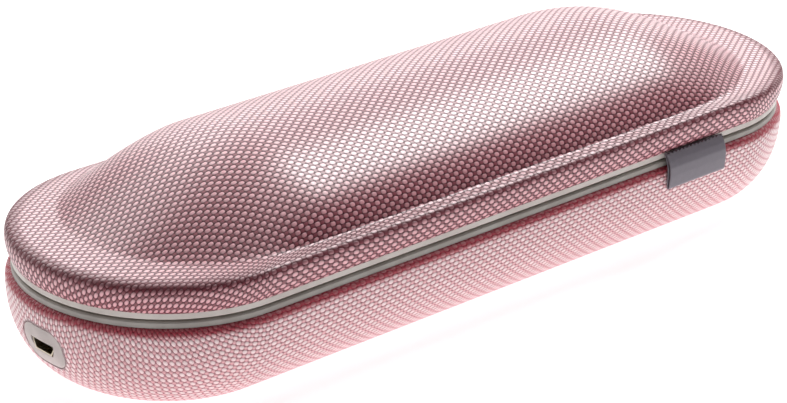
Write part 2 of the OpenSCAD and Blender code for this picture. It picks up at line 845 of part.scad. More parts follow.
module tray_screws() {
    color("#c4c6ca")
        for (p = tray_screw_places())
            difference() {
                translate([p[0], p[1], 0]) sunk_screw(tray_screw_d, tray_top, screw_l);
                translate([p[0], p[1], tray_top - tray_screw_d / 4]) cross_slot(tray_screw_d);
            }
}

module lid_cover() {
    color("#d9abb5")
        translate([0, 0, lid_z])
            difference() {
                loft(lid_rings(0));
                loft(opened(lid_rings(skin_t), past));
            }
}

module lid_core() {
    color("#4b4650")
        translate([0, 0, lid_z])
            difference() {
                loft(lid_rings(skin_t + glue));
                loft(opened(lid_rings(wall + glue), past));
            }
}

module lid_lining() {
    color("#e6e3df")
        translate([0, 0, lid_z])
            difference() {
                union() {
                    loft(lining_rings(0, tray_drop));
                    plate(tray_r, tray_drop, tray_t);
                }
                loft(lining_rings(lining_t, 0));
                magnet_blocks(fit, 0, tray_drop + tray_t + ledge_t);
            }
}

module lid_pads() {
    color("#8f8b8e")
        for (s = [-1, 1])
            difference() {
                intersection() {
                    translate([pad_mid + s * pad_reach - pad_w / 2, handle_y - lid_pad_half, tray_top])
                        cube([pad_w, 2 * lid_pad_half, base_h + lid_h - tray_top]);
                    translate([0, 0, lid_z]) loft(lining_rings(lining_t + glue, 0));
                }
                bar_x(-half_l, half_l, handle_y, tray_top, handle_r);
            }
}

// Folded label: sewn on the lid's side just above the rim, hanging over the seam.
module woven_label() {
    y2 = -side_r - tag_clear;
    inner = concat(
        [for (i = [tag_rows:-1:0])
            let (h = rim_h + tag_hold * i / tag_rows) [-lid_side_r(h) - 2 * glue, h]],
        [[-rim_out_r - 2 * glue, 0], [y2, rim_tuck - base_waist - seam_gap], [y2, -tag_drop]]
    );
    color("#6a6a76")
        translate([tag_x - tag_w / 2, 0, lid_z])
            rotate([90, 0, 90])
                linear_extrude(tag_w)
                    polygon(concat(inner, [for (p = backwards(inner)) [p[0] - tag_t, p[1]]]));
}

base_cover();
base_core();
base_rim();
charging_tray();
cradle_pads();
hinge_pins();
base_magnets();
port_bezel();
usb_shell();
usb_tongue();
usb_contacts();
circuit_board();
control_chip();
board_components();
coil_bobbin();
charging_coil();
ferrite_rod();
coil_leads();
board_screws();
tray_screws();
lid_cover();
lid_core();
lid_rim();
lid_lining();
lid_pads();
lid_magnets();
woven_label();
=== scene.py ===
"""Travel case for an electric toothbrush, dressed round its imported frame.

Every piece is in metres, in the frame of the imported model: +X away from the power inlet,
+Y towards the hinge, +Z up, origin at the centre of the footprint.
"""
import logging
import math
from collections.abc import Iterator
from contextlib import contextmanager
from dataclasses import dataclass, field, replace
from enum import Enum

import bmesh
import bpy
import numpy as np
from mathutils import Matrix, Vector


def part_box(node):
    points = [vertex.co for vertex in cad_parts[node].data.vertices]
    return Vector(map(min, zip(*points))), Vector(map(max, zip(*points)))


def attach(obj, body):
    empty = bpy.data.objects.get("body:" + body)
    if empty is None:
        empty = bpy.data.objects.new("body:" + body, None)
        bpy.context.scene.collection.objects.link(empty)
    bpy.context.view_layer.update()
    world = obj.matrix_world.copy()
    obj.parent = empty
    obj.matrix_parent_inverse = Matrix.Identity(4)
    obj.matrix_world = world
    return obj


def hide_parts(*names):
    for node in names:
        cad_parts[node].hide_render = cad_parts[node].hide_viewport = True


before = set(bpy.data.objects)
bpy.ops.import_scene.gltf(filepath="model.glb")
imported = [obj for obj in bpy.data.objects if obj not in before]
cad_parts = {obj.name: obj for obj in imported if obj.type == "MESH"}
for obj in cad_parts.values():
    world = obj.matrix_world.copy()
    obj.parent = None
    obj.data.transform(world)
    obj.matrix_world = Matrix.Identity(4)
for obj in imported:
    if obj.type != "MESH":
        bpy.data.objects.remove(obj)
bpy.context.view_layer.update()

LOG = logging.getLogger("travel_case")
Object = bpy.types.Object
Material = bpy.types.Material
Tree = bpy.types.NodeTree
Socket = bpy.types.NodeSocket
Colour = tuple[float, float, float]
# Distance within which points are one, then the turn at a crisp edge and at a flat one.
MERGE = 1e-6
CRISP = math.radians(32.0)
FLAT = math.radians(0.5)


class Body(str, Enum):
    """The two bodies of the case."""

    BASE = "base"
    LID = "lid"


@dataclass(frozen=True)
class CaseSizes:
    """Driving sizes of the case, in metres, the same as in the part's source."""

    case_l: float = 0.2264
    case_w: float = 0.072
    base_h: float = 0.0253
    lid_h: float = 0.0246
    seam_gap: float = 0.0005
    rim_h: float = 0.0015
    rim_tuck: float = 0.0014
    base_draw: float = 0.020
    base_waist: float = 0.0029
    base_full: float = 2.28
    crease_h: float = 0.0083
    crease_in: float = 0.0012
    band_in: float = 0.0
    band_share: float = 0.85
    side_shelf: float = 0.0032
    end_shelf: float = 0.0117
    shelf_rise: float = 0.0006
    crown_half: float = 0.055
    end_fall: float = 2.0
    end_ease: float = 1.35
    dome_full: float = 1.75
    soft_run: float = 0.030
    soft_foot: float = 1.0
    soft_near: float = 5.0
    skin_t: float = 0.001
    bezel_r: float = 0.0039

    @property
    def half_l(self) -> float:
        """Half the length of the case."""
        return self.case_l / 2

    @property
    def side_r(self) -> float:
        """Half the width of the case, which is also the radius of its ends."""
        return self.case_w / 2

    @property
    def spine_half(self) -> float:
        """Half the length of the straight part."""
        return (self.case_l - self.case_w) / 2

    @property
    def lid_z(self) -> float:
        """Height of the lid's underside."""
        return self.base_h + self.seam_gap

    @property
    def shell_top(self) -> float:
        """Height of the top edge of the base's cover."""
        return self.base_h - self.rim_h

    @property
    def waist_z(self) -> float:
        """Height of the base's widest line."""
        return self.base_h - self.base_waist


SIZES = CaseSizes()


def quarter(n: int) -> np.ndarray:
    """Angles of a quarter turn in radians, from 0 to a right angle, in n steps."""
    return np.linspace(0.0, np.pi / 2, n + 1)


def evenly(points: np.ndarray, step: float) -> np.ndarray:
    """Points spaced evenly by arc length along a line.

    Args:
        points: (n, d) corners of the line.
        step: distance between two points, in metres.

    Returns:
        (k, d) points that start and end where the line does.
    """
    far = np.concatenate([[0.0], np.cumsum(np.linalg.norm(np.diff(points, axis=0), axis=1))])
    along = np.linspace(0.0, far[-1], max(3, int(far[-1] / step) + 2))
    return np.stack([np.interp(along, far, points[:, i]) for i in range(points.shape[1])], axis=1)


def softened(points: np.ndarray, passes: int) -> np.ndarray:
    """Rows with their corners rounded: each pass gives a row a quarter of both neighbours.

    Args:
        points: (k, ...) rows; the first and the last stay.
        passes: number of passes.

    Returns:
        The rounded rows.
    """
    for _ in range(passes):
        points = np.concatenate([points[:1], (points[:-2] + 2 * points[1:-1] + points[2:]) / 4,
                                 points[-1:]])
    return points


@dataclass(frozen=True)
class Stadium:
    """Columns of an outline with two straight sides and two round ends.

    Column j has a share c of the spine and a heading t. On a ring of half length L and half
    width W it lies at (c (L - W) + W cos t, W sin t).
    """

    side_steps: int
    end_steps: int

    @property
    def spine(self) -> np.ndarray:
        """Share of the spine of each column, from -1 to 1."""
        side = np.linspace(-1.0, 1.0, self.side_steps, endpoint=False)
        end = np.ones(self.end_steps)
        return np.concatenate([side, end, -side, -end])

    @property
    def heading(self) -> np.ndarray:
        """Heading of each column in radians."""
        turn = np.linspace(-np.pi / 2, np.pi / 2, self.end_steps, endpoint=False)
        flat = np.full(self.side_steps, np.pi / 2)
        return np.concatenate([-flat, turn, flat, turn + np.pi])

    def rings(self, levels: np.ndarray) -> np.ndarray:
        """Points of each level's ring.

        Args:
            levels: (k, 3) half length, half width and height.

        Returns:
            (k, columns, 3) points.
        """
        length, width, height = (levels[:, i:i + 1] for i in range(3))
        x = self.spine * (length - width) + width * np.cos(self.heading)
        y = width * np.sin(self.heading)
        return np.stack([x, y, np.broadcast_to(height, x.shape)], axis=-1)

    def cloth(self, points: np.ndarray) -> np.ndarray:
        """Places on the flat cloth of a grid of points.

        Each column starts at its first point's plan and goes on by the full length of each
        step: on the step's own heading where it runs outwards, on the column's where it climbs.

        Args:
            points: (k, columns, 3) rings from the middle outwards.

        Returns:
            (k, columns, 2) places in metres.
        """
        step = np.diff(points, axis=0)
        far = np.linalg.norm(step, axis=-1, keepdims=True)
        normal = np.stack([np.cos(self.heading), np.sin(self.heading)], axis=-1)
        plan = step[..., :2]
        outwards = np.clip((plan * normal).sum(-1, keepdims=True) / np.maximum(far, 1e-9), 0, 1)
        size = np.maximum(np.linalg.norm(plan, axis=-1, keepdims=True), 1e-9)
        head = outwards * plan / size + (1 - outwards) * normal
        head /= np.maximum(np.linalg.norm(head, axis=-1, keepdims=True), 1e-9)
        start = points[:1, :, :2]
        return np.concatenate([start, start + np.cumsum(head * far, axis=0)])


def grid_faces(rows: int, cols: int, closed: bool = True) -> np.ndarray:
    """Corner numbers of the quads between neighbouring rows and columns.

    Args:
        rows: number of rows.
        cols: number of columns.
        closed: whether the last column joins the first.

    Returns:
        (faces, 4) vertex numbers.
    """
    r = np.arange(rows - 1)[:, None]
    c = np.arange(cols if closed else cols - 1)[None, :]
    after = (c + 1) % cols
    corners = [r * cols + c, (r + 1) * cols + c, (r + 1) * cols + after, r * cols + after]
    quads = np.stack([np.broadcast_to(k, (rows - 1, c.size)) for k in corners], axis=-1)
    return quads.reshape(-1, 4)


def linked(name: str, data: bpy.types.ID) -> Object:
    """New object with this data, linked to the scene."""
    obj = bpy.data.objects.new(name, data)
    bpy.context.scene.collection.objects.link(obj)
    return obj


def mesh_object(name: str, points: np.ndarray, faces: np.ndarray,
                values: dict[str, np.ndarray] | None = None) -> Object:
    """New object at the origin with these points and quads, smooth shaded.

    Args:
        name: the piece's name.
        points: (n, 3) places in metres.
        faces: (m, 4) or (m, 3) vertex numbers.
        values: point attributes, each (n, 3).

    Returns:
        The object, linked to the scene.
    """
    mesh = bpy.data.meshes.new(name)
    n, (m, k) = len(points), faces.shape
    mesh.vertices.add(n)
    mesh.vertices.foreach_set("co", np.ascontiguousarray(points, np.float32).ravel())
    mesh.loops.add(m * k)
    mesh.loops.foreach_set("vertex_index", np.ascontiguousarray(faces, np.int32).ravel())
    mesh.polygons.add(m)
    mesh.polygons.foreach_set("loop_start", np.arange(0, m * k, k, dtype=np.int32))
    mesh.update(calc_edges=True)
    for key, value in (values or {}).items():
        layer = mesh.attributes.new(key, "FLOAT_VECTOR", "POINT")
        layer.data.foreach_set("vector", np.ascontiguousarray(value, np.float32).ravel())
    mesh.shade_smooth()
    return linked(name, mesh)


@contextmanager
def editing(mesh: bpy.types.Mesh) -> Iterator[bmesh.types.BMesh]:
    """The mesh in its editable form, written back at the end."""
    work = bmesh.new()
    work.from_mesh(mesh)
    yield work
    work.to_mesh(mesh)
    work.free()


def weld(obj: Object) -> None:
    """Joins points that coincide and turns every face outwards."""
    with editing(obj.data) as work:
        bmesh.ops.remove_doubles(work, verts=work.verts, dist=MERGE)
        bmesh.ops.dissolve_degenerate(work, edges=work.edges, dist=MERGE / 10)
        bmesh.ops.recalc_face_normals(work, faces=work.faces)


def apply_modifiers(obj: Object) -> None:
    """Replaces the object's mesh by what its modifiers make of it."""
    bpy.context.view_layer.update()
    graph = bpy.context.evaluated_depsgraph_get()
    made = bpy.data.meshes.new_from_object(obj.evaluated_get(graph), preserve_all_data_layers=True,
                                           depsgraph=graph)
    obj.modifiers.clear()
    obj.data = made


@dataclass
class Nodes:
    """Short way to place and link nodes in a tree."""

    tree: Tree

    def add(self, kind: str, inputs: dict | None = None, **settings: object) -> bpy.types.Node:
        """Adds a node.

        Args:
            kind: the node's class name without the prefix ShaderNode.
            inputs: socket name or number to a value or to an output socket.
            settings: properties of the node.

        Returns:
            The new node.
        """
        node = self.tree.nodes.new(kind if kind.startswith("NodeGroup") else f"ShaderNode{kind}")
        for key, value in settings.items():
            setattr(node, key, value)
        self.feed(node, inputs or {})
        return node

    def feed(self, node: bpy.types.Node, inputs: dict) -> None:
        """Gives the node's inputs values or links them to output sockets."""
        for key, value in inputs.items():
            if isinstance(value, Socket):
                self.tree.links.new(value, node.inputs[key])
            else:
                node.inputs[key].default_value = value

    def bump(self, height: Socket, depth: float, strength: float = 1.0) -> Socket:
        """Normal of a relief that is depth metres high."""
        return self.add("Bump", {"Height": height, "Distance": depth,
                                 "Strength": strength}).outputs[0]

    def math(self, operation: str, *values: object) -> Socket:
        """Output of a Math node on one to three values or sockets."""
        return self.add("Math", dict(enumerate(values)), operation=operation).outputs[0]

    def mix(self, share: object, first: object, second: object, blend: str = "MIX") -> Socket:
        """Output of a colour Mix node; colours are sockets or four numbers."""
        return self.add("Mix", {0: share, 6: first, 7: second}, data_type="RGBA",
                        blend_type=blend).outputs[2]

    def spread(self, value: object, low: float, high: float, to_low: float = 0.0,
               to_high: float = 1.0, smooth: bool = False) -> Socket:
        """Output of a Map Range node, held inside its range."""
        return self.add("MapRange", {0: value, 1: low, 2: high, 3: to_low, 4: to_high},
                        interpolation_type="SMOOTHSTEP" if smooth else "LINEAR").outputs[0]


def rgba(colour: Colour) -> tuple[float, float, float, float]:
    """Linear colour with alpha 1 from a display colour of 0 to 255."""
    part = np.array(colour, float) / 255
    line = np.where(part <= 0.04045, part / 12.92, ((part + 0.055) / 1.055) ** 2.4)
    return (float(line[0]), float(line[1]), float(line[2]), 1.0)


def new_group(name: str, inputs: list[tuple[str, str, object]],
              outputs: list[tuple[str, str]]) -> tuple[Tree, Nodes, dict]:
    """Starts a shader node group.

    Args:
        name: the group's name.
        inputs: name, socket kind and default of each input.
        outputs: name and socket kind of each output.

    Returns:
        The group, its node placer, and its input sockets by name.
    """
    group = bpy.data.node_groups.new(name, "ShaderNodeTree")
    for label, kind, default in inputs:
        socket = group.interface.new_socket(label, in_out="INPUT", socket_type=f"NodeSocket{kind}")
        if default is not None:
            socket.default_value = default
    for label, kind in outputs:
        group.interface.new_socket(label, in_out="OUTPUT", socket_type=f"NodeSocket{kind}")
    placer = Nodes(group)
    entry = placer.add("NodeGroupInput")
    return group, placer, {s.name: s for s in entry.outputs if s.name}


def weave_group() -> Tree:
    """Plain weave of thick yarn at a place on the flat cloth.

    The place, turned by Turn and divided by the two pitches, gives p along the case and q
    across it. A lengthwise yarn in row floor(q) swings by sin(pi p), up in even rows and down
    in odd ones, and is round across q. A crosswise yarn in column floor(p) swings the other
    way and lies lower by Sink. The higher of the two is seen, and a gap opens as the height
    falls from one value of open_at to the other.

    Returns:
        The group, with outputs Height (0 to 1), Cross (1 where the crosswise yarn shows), Hole
        (1 in the gaps between yarns) and Yarn (0 to 1, one value for each yarn).
    """
    group, n, given = new_group(
        "plain_weave",
        [("Place", "Vector", None), ("Pitch", "Float", 0.001), ("Cross Pitch", "Float", 0.001),
         ("Sink", "Float", 0.2), ("Turn", "Float", 0.0), ("Waver", "Float", 0.08)],
        [("Height", "Float"), ("Cross", "Float"), ("Hole", "Float"), ("Yarn", "Float")])
    lift, dip, per_half_width, full_height = 0.6, -0.5, 1.92, 1.6
    open_at, waver_scale, column_seed = (0.68, 0.42), 260.0, 0.37
    noise = n.add("TexNoise", {"Vector": given["Place"], "Scale": waver_scale, "Detail": 1.0},
                  noise_dimensions="3D").outputs["Color"]
    stir = n.add("VectorMath", {0: noise, 1: (0.5, 0.5, 0.5)}, operation="SUBTRACT").outputs[0]
    size = n.math("MULTIPLY", given["Waver"], given["Pitch"])
    stir = n.add("VectorMath", {0: stir, "Scale": size}, operation="SCALE").outputs[0]
    place = n.add("VectorMath", {0: given["Place"], 1: stir}, operation="ADD").outputs[0]
    place = n.add("VectorRotate", {"Vector": place, "Angle": given["Turn"]},
                  rotation_type="Z_AXIS").outputs[0]
    split = n.add("SeparateXYZ", {0: place})
    p = n.math("DIVIDE", split.outputs[0], given["Pitch"])
    q = n.math("DIVIDE", split.outputs[1], given["Cross Pitch"])

    def sign(value: Socket) -> Socket:
        """1 where the whole part is even and -1 where it is odd."""
        odd = n.math("FLOORED_MODULO", n.math("FLOOR", value), 2.0)
        return n.math("MULTIPLY_ADD", odd, -2.0, 1.0)

    def swing(along: Socket, row: Socket) -> Socket:
        """Rise and fall of a yarn along itself, turned over in every second row."""
        return n.math("MULTIPLY", n.math("SINE", n.math("MULTIPLY", along, math.pi)), sign(row))

    def section(across: Socket) -> Socket:
        """Round section of a yarn: root of 1 - (distance from its middle / half width) squared."""
        off = n.math("MULTIPLY", n.math("SUBTRACT", n.math("FRACT", across), 0.5), per_half_width)
        left = n.math("SUBTRACT", 1.0, n.math("MULTIPLY", off, off))
        return n.math("SQRT", n.math("MAXIMUM", left, 0.0))

    along = n.math("MULTIPLY_ADD", swing(p, q), lift, section(q))
    cross = n.math("MULTIPLY_ADD", swing(q, p), dip, section(p))
    cross = n.math("SUBTRACT", cross, given["Sink"])
    height = n.spread(n.math("MAXIMUM", along, cross), 0.0, full_height)
    on_top = n.math("GREATER_THAN", along, cross)
    hole = n.spread(height, *open_at, smooth=True)
    cross_shows = n.math("SUBTRACT", 1.0, on_top)
    column = n.math("ADD", n.math("FLOOR", p), column_seed)
    lane = n.math("ADD", n.math("MULTIPLY", on_top, n.math("FLOOR", q)),
                  n.math("MULTIPLY", cross_shows, column))
    yarn = n.add("TexWhiteNoise", {"W": lane}, noise_dimensions="1D").outputs["Value"]
    n.add("NodeGroupOutput",
          {"Height": height, "Cross": cross_shows, "Hole": hole, "Yarn": yarn})
    return group


def grain_group() -> Tree:
    """Fine texture of moulded or sintered pieces: a noise at Scale and one 16 times coarser.

    Returns:
        The group, with outputs Relief (fine) and Marks (coarse), each from 0 to 1.
    """
    group, n, given = new_group(
        "moulded_grain", [("Place", "Vector", None), ("Scale", "Float", 3000.0)],
        [("Relief", "Float"), ("Marks", "Float")])
    fine = n.add("TexNoise", {"Vector": given["Place"], "Scale": given["Scale"], "Detail": 2.0})
    coarse = n.add("TexNoise", {"Vector": given["Place"], "Detail": 3.0,
                                "Scale": n.math("MULTIPLY", given["Scale"], 1 / 16)})
    n.add("NodeGroupOutput", {"Relief": fine.outputs[0],
                              "Marks": n.spread(coarse.outputs[0], 0.35, 0.65, smooth=True)})
    return group


@dataclass
class Library:
    """Shader groups, each built once."""

    weave: Tree = field(default_factory=weave_group)
    grain: Tree = field(default_factory=grain_group)


def emptied(owner: bpy.types.ID) -> Nodes:
    """Node placer on the cleared tree of a material or a world."""
    owner.use_nodes = True
    owner.node_tree.nodes.clear()
    return Nodes(owner.node_tree)


def new_material(name: str, **constants: object) -> tuple[Material, Nodes, bpy.types.Node]:
    """A material with one Principled shader.

    Args:
        name: the material's name.
        constants: values of the shader's own sockets, with _ for each space in the name.

    Returns:
        The material, its node placer and the shader node.
    """
    made = bpy.data.materials.new(name)
    n = emptied(made)
    shader = n.add("BsdfPrincipled", {k.replace("_", " "): v for k, v in constants.items()})
    n.add("OutputMaterial", {"Surface": shader.outputs[0]})
    return made, n, shader


@dataclass(frozen=True)
class Woven:
    """Thick woven polyester: beads of lengthwise yarn over a crosswise one, with painted highlight
    and painted shade in its colours.

    Attributes:
        name: the material's name.
        crest, flank: display colours of the top and of the side of a bead: a painted highlight on
            the top, painted shade on the side.
        cross, hole: display colours of the crosswise yarn and of the gaps, both darkened as painted
            shade.
        tucked, tuck_shade_share: painted shade on the cloth drawn in under a rim and along the
            lid's crease, and its share.
        pitch: distance between two crosswise and two lengthwise yarns, in metres.
        turn: turn of the yarns on the cloth, in radians.
        sink: how much lower the crosswise yarn lies.
        relief: height of the bump in metres.
        bead: heights at which the colour is a bead's side and its top.
        tones: darkest and lightest yarn.
        fibre: scale of the fibres, per metre, and their share of the relief.
        roughness, sheen: values of a bead and of what lies under it.
        gloss_left: gloss of the crosswise yarn, the gaps and the painted shade under a rim, where a
            bead's is 1.
    """

    name: str
    crest: Colour
    flank: Colour
    cross: Colour
    hole: Colour
    tuck_shade: Colour
    pitch: tuple[float, float]
    turn: float
    sink: float
    relief: float
    tuck_shade_share: float = 0.85
    bead: tuple[float, float] = (0.5, 0.95)
    tones: tuple[float, float] = (0.93, 1.05)
    fibre: tuple[float, float] = (5200.0, 0.06)
    roughness: tuple[float, float] = (0.45, 0.8)
    gloss_left: tuple[float, float, float] = (0.75, 0.2, 0.35)
    sheen: tuple[float, float] = (0.3, 0.06)

    def build(self, library: Library) -> Material:
        """Builds the material from the attribute "cloth", whose third value marks the painted shade
        under the rim.
        """
        made, n, shader = new_material(
            self.name, IOR=1.5, Sheen_Roughness=0.4, Coat_IOR=1.8, Coat_Roughness=0.36,
            Sheen_Tint=rgba((255, 236, 240)))
        cloth = n.add("Attribute", attribute_name="cloth").outputs["Vector"]
        split = n.add("SeparateXYZ", {0: cloth})
        tuck_shade = split.outputs[2]
        flat = n.add("CombineXYZ", {0: split.outputs[0], 1: split.outputs[1]}).outputs[0]
        weave = n.add("Group", {"Place": flat, "Pitch": self.pitch[0], "Cross Pitch": self.pitch[1],
                                "Turn": self.turn, "Sink": self.sink}, node_tree=library.weave)
        height, cross, hole, yarn = (weave.outputs[i] for i in range(4))
        # Painted highlight on the top of each bead and painted shade on its sides.
        bead = n.mix(n.spread(height, *self.bead), rgba(self.flank), rgba(self.crest))
        tone = n.spread(yarn, 0.0, 1.0, *self.tones)
        tone = n.add("CombineColor", {i: tone for i in range(3)}).outputs[0]
        bead = n.mix(1.0, bead, tone, "MULTIPLY")
        # The crosswise yarn and the gaps are darkened as painted shade.
        colour = n.mix(hole, n.mix(cross, bead, rgba(self.cross)), rgba(self.hole))
        under = n.math("MAXIMUM", cross, hole)
        # Painted shade under the rim and along the lid's crease.
        colour = n.mix(tuck_shade, colour, n.mix(self.tuck_shade_share, colour, rgba(self.tuck_shade)))
        on_cross, in_hole, in_shade = (
            n.spread(mask, 0.0, 1.0, 1.0, left)
            for mask, left in zip((cross, hole, tuck_shade), self.gloss_left))
        coat = n.math("MULTIPLY", n.math("MULTIPLY", on_cross, in_hole), in_shade)
        scale, share = self.fibre
        fibre = n.add("TexNoise", {"Vector": cloth, "Scale": scale, "Detail": 2.0}).outputs[0]
        relief = n.math("MULTIPLY_ADD", fibre, share, n.spread(height, 0.2, 1.0, smooth=True))
        n.feed(shader, {
            "Base Color": colour, "Coat Weight": coat, "Normal": n.bump(relief, self.relief),
            "Roughness": n.spread(under, 0.0, 1.0, *self.roughness),
            "Sheen Weight": n.spread(under, 0.0, 1.0, *self.sheen)})
        return made


@dataclass(frozen=True)
class Moulded:
    """Moulded, cast or drawn piece with a fine grain and handling marks.

    Attributes:
        name: the material's name.
        colour, worn: display colours of the piece and of its marks.
        roughness: lowest and highest roughness.
        grain: scale of the grain, per metre.
        relief: height of the grain in metres.
        metal: metallic value.
        gloss: weight of a clear coat.
    """

    name: str
    colour: Colour
    worn: Colour
    roughness: tuple[float, float] = (0.45, 0.6)
    grain: float = 3000.0
    relief: float = 0.00002
    metal: float = 0.0
    gloss: float = 0.0

    def build(self, library: Library) -> Material:
        """Builds the material on Object coordinates."""
        made, n, shader = new_material(self.name, Metallic=self.metal, Coat_Weight=self.gloss,
                                       Coat_Roughness=0.15)
        place = n.add("TexCoord").outputs["Object"]
        grain = n.add("Group", {"Place": place, "Scale": self.grain}, node_tree=library.grain)
        relief, marks = grain.outputs[0], grain.outputs[1]
        colour = n.mix(marks, rgba(self.colour), rgba(self.worn))
        n.feed(shader, {"Base Color": colour, "Normal": n.bump(relief, self.relief),
                        "Roughness": n.spread(marks, 0.0, 1.0, *self.roughness)})
        return made


@dataclass(frozen=True)
class LabelSatin:
    """Close satin ribbon of fine yarn, with a faint mottle.

    Attributes:
        name: the material's name.
        face, shade: display colours of the yarn and of the painted shade between yarns.
        pitch: distance between two yarns, in metres.
    """

    name: str = "label_satin"
    face: Colour = (138, 131, 141)
    shade: Colour = (96, 89, 99)
    pitch: float = 0.00016

    def build(self, library: Library) -> Material:
        """Builds the material on the weave group, at about an eighth of the cover's scale."""
        made, n, shader = new_material(self.name, IOR=1.5, Sheen_Weight=0.15, Sheen_Roughness=0.3)
        place = n.add("Attribute", attribute_name="cloth").outputs["Vector"]
        weave = n.add("Group", {"Place": place, "Pitch": self.pitch, "Cross Pitch": self.pitch,
                                "Sink": 0.1, "Waver": 0.2}, node_tree=library.weave)
        mottle = n.add("TexNoise", {"Vector": place, "Scale": 700.0, "Detail": 3.0}).outputs[0]
        raised = n.math("MULTIPLY", weave.outputs["Height"], 0.6)
        share = n.math("MULTIPLY_ADD", mottle, 0.5, raised)
        # Painted shade in the low places between yarns, shifted at random by the mottle.
        colour = n.mix(share, rgba(self.shade), rgba(self.face))
        n.feed(shader, {"Base Color": colour, "Normal": n.bump(weave.outputs[0], 0.00003, 0.8),
                        "Roughness": n.spread(mottle, 0.3, 0.7, 0.42, 0.55)})
        return made


# Lid cloth: crest is a painted highlight; flank, cross, hole and tucked are painted shade.
LID_WEAVE = Woven("woven_cover_lid", crest=(247, 173, 183), flank=(220, 136, 149),
                  cross=(142, 50, 66), hole=(87, 15, 33), tuck_shade=(104, 24, 40),
                  pitch=(0.00135, 0.00103), turn=0.07, sink=0.25, relief=0.0003)
# The base's cloth is the lid's cloth painted paler, as painted light from the glowing table below;
# its crimson tucked colour is painted shade.
BASE_WEAVE = replace(LID_WEAVE, name="woven_cover_base", turn=-0.02, crest=(255, 224, 226),
                     flank=(255, 210, 213), cross=(238, 174, 181), hole=(180, 112, 121),
                     tuck_shade=(190, 34, 62))
# One rim plastic in two copies: painted light on the lid's rim, painted shade on the base's rim
# below it.
RIM_PAINTED_LIT = Moulded("rim_painted_lit", (226, 217, 211), (216, 206, 200), (0.42, 0.55))
RIM_PAINTED_SHADE = Moulded("rim_painted_shade", (184, 178, 172), (174, 167, 161), (0.42, 0.55))
TRAY = Moulded("tray_white", (224, 221, 217), (214, 210, 206), (0.4, 0.55), 2200.0, 0.00003)
CORE = Moulded("core_dark", (96, 92, 98), (84, 80, 86), (0.55, 0.7))
BEZEL = Moulded("surround_grey", (202, 190, 187), (192, 180, 177), (0.38, 0.5))
RUBBER = Moulded("pad_rubber_grey", (118, 114, 118), (104, 100, 104), (0.65, 0.8), 2600.0,
                 0.00004)
FOAM = Moulded("pad_foam_grey", (142, 138, 142), (126, 122, 126), (0.8, 0.95), 1700.0, 0.0001)
STEEL = Moulded("pin_steel_drawn", (196, 198, 202), (170, 172, 176), (0.25, 0.4), 4000.0,
                0.000008, 1.0)
NICKEL = Moulded("magnet_nickel_plate", (200, 199, 196), (184, 183, 180), (0.15, 0.3), 3000.0,
                 0.000004, 1.0)
INLET = Moulded("inlet_shell_plate", (214, 204, 184), (190, 178, 156), (0.25, 0.4), 3000.0,
                0.000006, 1.0)
TONGUE = Moulded("inlet_tongue_black", (38, 38, 40), (48, 48, 50), (0.5, 0.65))
GOLD = Moulded("contact_gold_plate", (226, 186, 104), (206, 164, 84), (0.2, 0.35), 3000.0,
               0.000003, 1.0)
LAMINATE = Moulded("board_green", (38, 98, 56), (30, 84, 48), (0.3, 0.45), 900.0, 0.00001, 0.0,
                   0.4)
CHIP = Moulded("chip_black", (40, 40, 43), (52, 52, 55), (0.5, 0.7), 3500.0, 0.00001)
PARTS = Moulded("component_brown", (120, 104, 88), (150, 140, 128), (0.35, 0.5), 500.0, 0.00001)
BOBBIN = Moulded("bobbin_cream", (228, 222, 206), (216, 209, 192), (0.4, 0.55))
COPPER = Moulded("coil_copper_enamel", (196, 112, 62), (168, 88, 46), (0.3, 0.45), 2500.0,
                 0.00004, 0.7, 0.3)
FERRITE = Moulded("ferrite_sintered", (78, 78, 82), (64, 64, 68), (0.6, 0.75), 4000.0, 0.00003)
SLEEVE = Moulded("lead_sleeve_red", (176, 44, 40), (150, 34, 32), (0.35, 0.5))
Finish = Woven | Moulded | LabelSatin


@dataclass
class Dresser:
    """Puts finished pieces on their bodies, and keeps the materials made so far by name."""

    library: Library
    made: dict[str, Material] = field(default_factory=dict)

    def material(self, finish: Finish) -> Material:
        """The finish's material, built the first time it is asked for."""
        if finish.name not in self.made:
            self.made[finish.name] = finish.build(self.library)
        return self.made[finish.name]

    def dress(self, obj: Object, finish: Finish, body: Body, slot: str, *nodes: str) -> None:
        """Paints a piece and makes it ride on its body in place of CAD nodes.

        Args:
            obj: the piece.
            finish: what it is made of.
            body: what it rides on.
            slot: not used.
            nodes: the CAD nodes that it stands for.
        """
        obj.data.materials.clear()
        obj.data.materials.append(self.material(finish))
        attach(obj, body.value)
        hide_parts(*nodes)
        LOG.info("%s rides on %s, %d faces", obj.name, body.value, len(obj.data.polygons))


